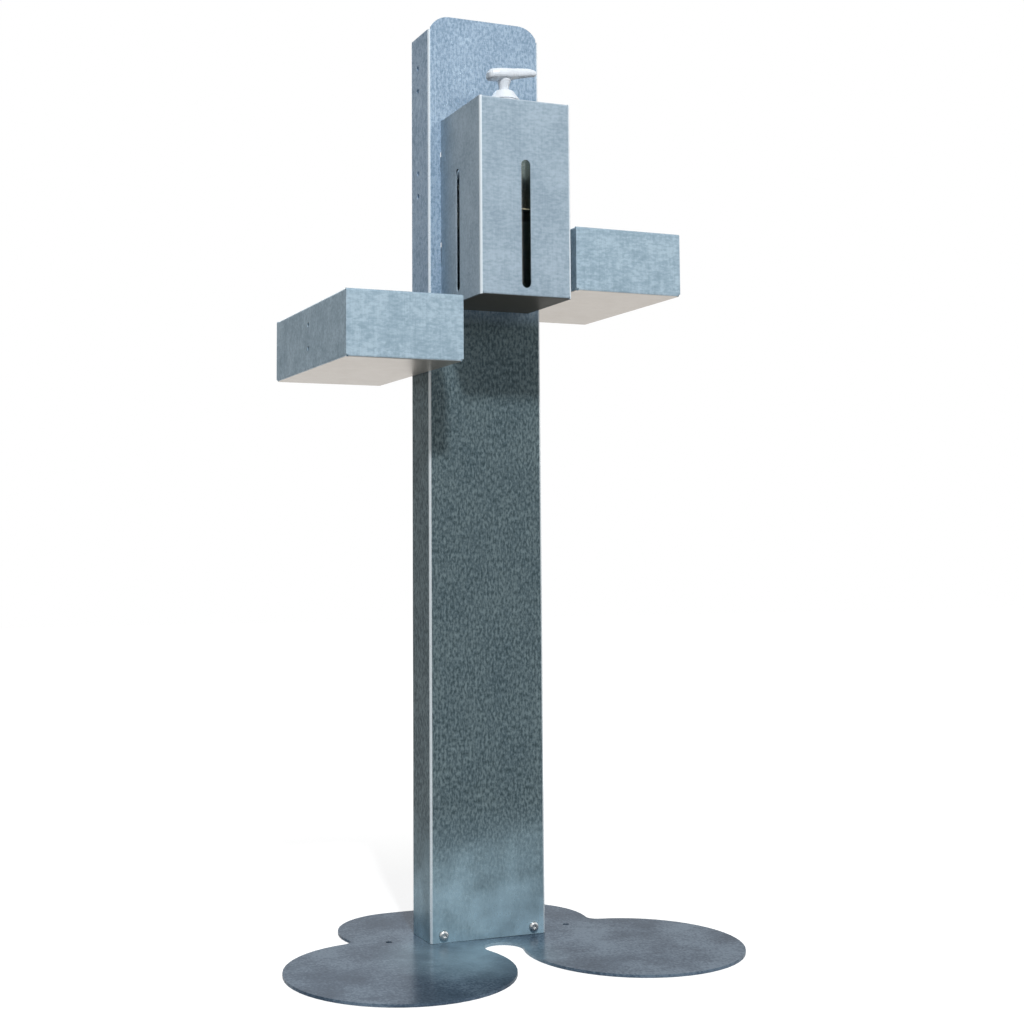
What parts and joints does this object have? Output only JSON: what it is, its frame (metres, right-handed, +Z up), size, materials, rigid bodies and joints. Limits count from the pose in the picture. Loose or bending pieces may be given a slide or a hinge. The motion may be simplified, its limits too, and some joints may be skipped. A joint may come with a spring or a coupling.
{
  "type": "hand sanitizer holder",
  "caption": "Floor stand of folded galvanised sheet with a lobed foot plate, a channel column, a hung dispenser box for a pump bottle and an open tray on each side.",
  "frame": {"origin": "on the ground, under the middle of the column's front face", "axes": "+Z up; -Y towards the user, out of the column's front face; +X to the right-hand tray"},
  "size_m": [0.4898, 0.3479, 1],
  "materials": {
    "galvanised_sheet": "hot-dip galvanised, semi-bright with faint spangle",
    "zinc_plated_screw": "zinc plated",
    "stainless_steel": "bright",
    "white_polypropylene": "satin white",
    "clear_bottle": "clear",
    "seal_rubber": "matt"
  },
  "bodies": {
    "stand": {"base_plate": "galvanised_sheet", "foot_bracket": "galvanised_sheet", "column": "galvanised_sheet", "foot_screw_left": "zinc_plated_screw", "foot_screw_right": "zinc_plated_screw", "foot_nut_left": "zinc_plated_screw", "foot_nut_right": "zinc_plated_screw", "dispenser_box": "galvanised_sheet", "left_tray": "galvanised_sheet", "right_tray": "galvanised_sheet", "left_tray_screw_lower": "zinc_plated_screw", "left_tray_screw_upper": "zinc_plated_screw", "left_tray_washer_lower": "zinc_plated_screw", "left_tray_washer_upper": "zinc_plated_screw", "left_tray_nut_lower": "zinc_plated_screw", "left_tray_nut_upper": "zinc_plated_screw", "right_tray_screw_lower": "zinc_plated_screw", "right_tray_screw_upper": "zinc_plated_screw", "right_tray_washer_lower": "zinc_plated_screw", "right_tray_washer_upper": "zinc_plated_screw", "right_tray_nut_lower": "zinc_plated_screw", "right_tray_nut_upper": "zinc_plated_screw", "bottle": "clear_bottle", "closure_cap": "white_polypropylene", "neck_gasket": "seal_rubber", "pump_collar": "white_polypropylene", "guide_tube": "white_polypropylene", "pump_housing": "white_polypropylene", "dip_tube": "white_polypropylene", "inlet_ball": "stainless_steel", "return_spring": "stainless_steel"},
    "plunger": {"piston": "seal_rubber"},
    "head": {"pump_stem": "white_polypropylene", "stem_sleeve": "white_polypropylene", "pump_head": "white_polypropylene"}
  },
  "joints": [
    {"name": "pump_press", "type": "slide", "parent": "stand", "child": "plunger", "axis": [0, 0, -1], "range_m": [0, 0.009], "stiffness_N_per_m": 400, "springref_m": -0.006, "deforming": ["return_spring"]},
    {"name": "pump_swivel", "type": "hinge", "parent": "plunger", "child": "head", "pos_m": [0, -0.0537, 0.9169], "axis": [0, 0, 1], "continuous": true}
  ]
}
